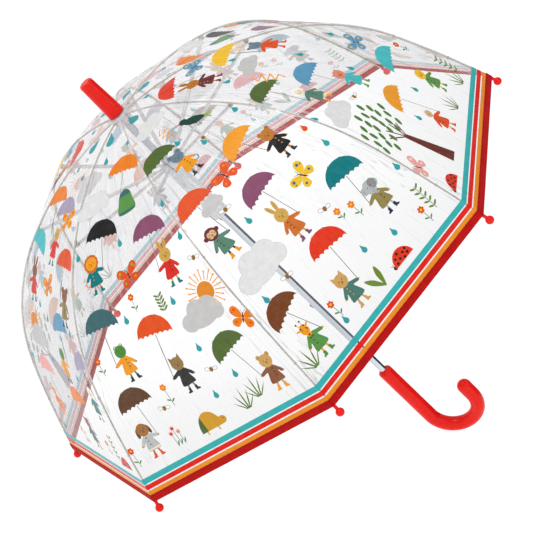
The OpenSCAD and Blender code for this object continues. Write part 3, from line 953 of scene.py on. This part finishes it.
def hem_half(panel, side):
    """Fabric tape folded over the hem, from the middle of a panel to its corner."""
    width = float(half_width(0))
    rings = []
    for i in range(HEM_STEPS + 1):
        x = side * width * i / HEM_STEPS
        swell = 0.6 + 0.4 * sin(x * 0.31 + 2 * panel)
        pucker = 0.22 * sin(x * 1.05 + panel) * swell + 0.15 * sin(x * 2.3)
        top = HEM + 0.18 * sin(x * 0.9 + panel)
        # height on the film and distance from it, down the outside and up the inside
        section = (
            (top, 0.30), (top - 0.25, 0.55 + pucker * 0.2), (top - 1.4, 0.42), (top - 3.5, 0.62 + pucker),
            (top - 6, 0.60 + pucker * 0.8), (0.6, 0.62), (-0.35, 0.5), (-0.7, 0), (-0.35, -0.5),
            (0.8, -0.6), (top - 6, -0.6 - pucker * 0.6), (top - 3.5, -0.62 - pucker * 0.8),
            (top - 1.4, -0.42), (top, -0.55), (top, -0.3))
        rings.append([on_film(panel, x, y, lift) for y, lift in section])
    parts = [(loft(rings), 0)]
    for i in range(int(width / STITCH_STEP)):
        start = side * (i * STITCH_STEP + 0.9)
        for face in (1, -1):
            line = []
            for t in (0, 0.33, 0.67, 1):
                lift = face * (0.5 + 0.12 * sin(pi * t))
                line.append(on_film(panel, start + side * t * STITCH_LENGTH, HEM - 1.4, lift))
            parts.append((rod(line, [THREAD_RADIUS * MM] * 4, 5, UP), 1))
    return joined("hem", parts, ("binding", "thread"))


def placed(n, points):
    """Points (r, t, z) in mm beside rib n, t sideways, as world points in metres."""
    outward, sideways, up = rib_frame(n)
    return [(outward * r + sideways * t + up * z) * MM for r, t, z in points]


def bar(n, start, end, width, height, slope):
    """A flat bar from start to end (r, z) in the rib's plane, square to a slope in degrees."""
    lean_z, lean_r = (v * height / 2 for v in turned(slope))
    corners = ((-1, -1), (-1, 1), (1, 1), (1, -1))
    return loft([placed(n, [(r + lean_r * i, j * width / 2, z + lean_z * i) for i, j in corners])
                 for r, z in (start, end)])


def disc(n, centre, radius, near, far, count=16):
    """A disc across the rib's plane, from near to far beside it."""
    return loft([placed(n, [(centre[0] + radius * c, t, centre[1] + radius * s) for c, s in circle(count)])
                 for t in (near, far)])


RUNNER_HINGE = (9.5, 460)  # r and z, as are the two below
JOINT = (167.12, 508.10)  # where the stretcher meets the rib
EAR_TOP = (168.39, 510.82)
COLLARS = (189.8, 344.1)  # stations on the rib
TIES = (92, 189.8, 268, 344.1, 418)
TIE_RADIUS = 1.55


def rib_wire(n):
    """The sprung rib: bent wire, thinner at the crown, collars, the stretcher's ear, thread ties."""
    outward, sideways, _ = rib_frame(n)
    line = []
    radii = []
    for station in np.linspace(2, RIB_LENGTH - 3, 150):
        r, z, _ = rib_at(float(station))
        line += placed(n, [(r, 0, z)])
        radius = 1 + sum(0.4 * exp(-((station - collar) / 2.4) ** 4) for collar in COLLARS)
        radii.append((radius - 0.2 * exp(-((station - 2) / 4) ** 2)) * MM)
    ear_end = (JOINT[0] + 3.2, JOINT[1] - 0.6)
    parts = [
        (rod(line, radii, 10, sideways), 0),
        (disc(n, HINGE, 2.1, -0.8, 0.8), 0),
        (bar(n, (EAR_TOP[0] - 3.8, EAR_TOP[1] + 1.6), ear_end, 1.7, 3, 24.9), 0),
        (disc(n, JOINT, 1.9, -0.85, 0.85), 0),
    ]
    for station in TIES:
        for turn in (-0.5, 0, 0.5):
            r, z, slope = rib_at(station + turn)
            lean_z, lean_r = (v * TIE_RADIUS for v in turned(slope))
            ring = placed(n, [(r + c * lean_r, TIE_RADIUS * s, z + c * lean_z) for c, s in circle(14)])
            parts.append((rod(ring + ring[:1], [THREAD_RADIUS * MM] * 15, 5, outward), 1))
    return joined("rib", parts, ("rib", "tie"))


def stretcher_bar(n):
    """The stretcher: a channel folded open below, an eye at the runner and two rivet heads."""
    length = dist(RUNNER_HINGE, JOINT)
    unit_r = (JOINT[0] - RUNNER_HINGE[0]) / length
    unit_z = (JOINT[1] - RUNNER_HINGE[1]) / length
    # the channel's half width, half height and thickness
    w, h, e = 2.1, 1.5, 0.5
    section = ((-w, -h), (-w, h * 0.55), (-w * 0.7, h), (w * 0.7, h), (w, h * 0.55), (w, -h),
               (w - e, -h), (w - e, h * 0.4), (-w + e, h * 0.4), (-w + e, -h))

    def at(along, t, up):
        r = RUNNER_HINGE[0] + unit_r * along - unit_z * up
        return r, t, RUNNER_HINGE[1] + unit_z * along + unit_r * up

    rings = []
    for start, end, count in ((7, 12, 5), (18, length - 15, 22), (length - 12, length, 5)):
        for along in np.linspace(start, end, count):
            narrow = min(1, max(0.35, (along - 4) / 9))
            rings.append(placed(n, [at(along, t * narrow, up) for t, up in section]))
    slope = -degrees(atan2(unit_z, unit_r))
    parts = [
        (loft(rings), 0),
        (disc(n, RUNNER_HINGE, 2.1, -0.8, 0.8), 0),
        (bar(n, at(0.5, 0, 0)[::2], at(12, 0, 0)[::2], 1.5, 2.2, slope), 0),
    ]
    for side in (-1, 1):
        for radius, near, far in ((1.9, 2.15, 2.5), (1.35, 2.5, 2.85)):
            parts.append((disc(n, JOINT, radius, side * near, side * far, 14), 1))
    return joined("stretcher", parts, ("stretcher", "wire"))


def placed_piece(name, mesh, body):
    piece = add_object(name, mesh)
    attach(piece, body)
    return piece


def across_rib(n):
    """The direction square to the straight line from a rib's hinge to its end, in its plane."""
    outward, sideways, up = rib_frame(n)
    end_r, end_z, _ = rib_at(RIB_LENGTH)
    chord = Vector((end_r - HINGE[0], end_z - HINGE[1])).normalized()
    return tuple((outward * chord[0] + up * chord[1]).cross(sideways))


for n in range(1, RIBS + 1):
    wire = placed_piece(f"rib_wire_{n}", rib_wire(n), f"rib_body_{n}")
    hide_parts(f"rib_{n}")
    across_rib(n)
    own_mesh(wire)
    arm = placed_piece(f"stretcher_arm_{n}", stretcher_bar(n), f"stretcher_body_{n}")
    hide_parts(f"stretcher_{n}", f"rivet_{n}")
    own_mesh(arm)

for panel in range(1, RIBS + 1):
    shapes = pictures(panel)
    for side, word in ((-1, "left"), (1, "right")):
        n = panel if side < 0 else panel % RIBS + 1
        body = f"film_{word}_body_{n}"
        sheet = placed_piece(f"canopy_film_{n}_{word}", film_half(panel, side, shapes), body)
        hem = placed_piece(f"hem_binding_{n}_{word}", hem_half(panel, side), body)
        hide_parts(f"film_{n}_{word}")
        for piece in (sheet, hem):
            across_rib(n)
            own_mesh(piece)


# ---- floor and light
FLOOR_UP = (TURN @ Vector((0.7029, 0, 0.7112))).normalized()
FLOOR_DROP = 0.0518
FLOOR_RADIUS = 60
floor_right = (RIGHT - FLOOR_UP * RIGHT.dot(FLOOR_UP)).normalized()
floor_ahead = FLOOR_UP.cross(floor_right)
rim = [FLOOR_UP * -FLOOR_DROP + (floor_right * c + floor_ahead * s) * FLOOR_RADIUS for c, s in circle(64)]
floor_mesh = bpy.data.meshes.new("floor")
floor_mesh.from_pydata(rim, [], [tuple(range(len(rim)))])
floor = add_object("floor", floor_mesh)
ground = Mat("floor_white")
greys = [(0.3, (0.29, 0.29, 0.29, 1)), (0.7, (0.31, 0.31, 0.31, 1))]
ground.paint(Base_Color=ground.ramp(ground.noise(0.6, 2), greys), Roughness=0.9,
             Emission_Color=(1, 1, 1, 1), Emission_Strength=0.86)
# seen from below, the floor is clear
underside = ground.new("NewGeometry").outputs["Backfacing"]
no_floor = ground.new("BsdfTransparent")
ground.shader_mix(underside, ground.shader, no_floor, "Material Output")
floor_mesh.materials.append(ground.material)

world = bpy.data.worlds.new("studio")
bpy.context.scene.world = world
world.use_nodes = True
sky = Nodes(world.node_tree)
direction = sky.new("TexCoord").outputs["Generated"]


def facing(axis):
    """How nearly a direction of the studio points along an axis, from -1 to 1."""
    node = sky.new("VectorMath", operation="DOT_PRODUCT")
    sky.feed((direction, tuple(axis)), node.inputs)
    return node.outputs["Value"]


# light and darker stretches of the studio, from under the floor to straight above it
LIGHT_STOPS = ((0, 1.12), (0.52, 1.12), (0.60, 0.7), (0.70, 0.98), (0.84, 0.6), (0.97, 0.95))
studio = sky.ramp(facing(FLOOR_UP), [(at, (grey, grey, grey * 1.01, 1)) for at, grey in LIGHT_STOPS])
# a dark strip beside the umbrella, which the shaft mirrors along its upper side
beside = UP.cross(VIEW).normalized()
if beside.dot(UPWARD) < 0:
    beside = -beside
strip_middle = (beside * VIEW.xy.length + UP * VIEW.z).normalized()
height = sky.new("SeparateXYZ", Vector=direction)
off_level = sky.math("ABSOLUTE", sky.math("SUBTRACT", height.outputs["Z"], VIEW.z))
outside = sky.math("MAXIMUM", sky.mapped(facing(strip_middle), 1, 0, 0.16, 0.34),
                   sky.mapped(off_level, 0, 1, 0.16, 0.30))
lighting = world.node_tree.nodes["Background"]
sky.feed((sky.blend(outside, (0.03, 0.05, 0.10, 1), studio), 0.8), lighting.inputs)
# the empty studio itself is plain and pale wherever a view looks past the floor
plain = sky.new("Background", Color=(0.96, 0.96, 0.97, 1), Strength=1.06)
seen = sky.new("LightPath").outputs["Is Camera Ray"]
sky.shader_mix(seen, lighting, plain, "World Output")


canopy_middle = Vector((0, 0, 0.35))
to_camera = (FLOOR_UP * VIEW.dot(FLOOR_UP) - VIEW).normalized()


def soft_light(name, away, size, energy):
    """A round lamp that is away from the canopy's middle and points at it."""
    lamp = bpy.data.lights.new(name, "AREA")
    lamp.shape = "DISK"
    lamp.size = size
    lamp.energy = energy
    aim = (-away).normalized().to_track_quat("-Z", "Y").to_matrix().to_4x4()
    add_object(name, lamp).matrix_world = Matrix.Translation(canopy_middle + away) @ aim


soft_light("key", FLOOR_UP * 2.2 - RIGHT + to_camera * 1.2, 1.3, 20)
soft_light("fill", FLOOR_UP * 1.2 + RIGHT * 2.2 + to_camera * 1.4, 1.6, 11)
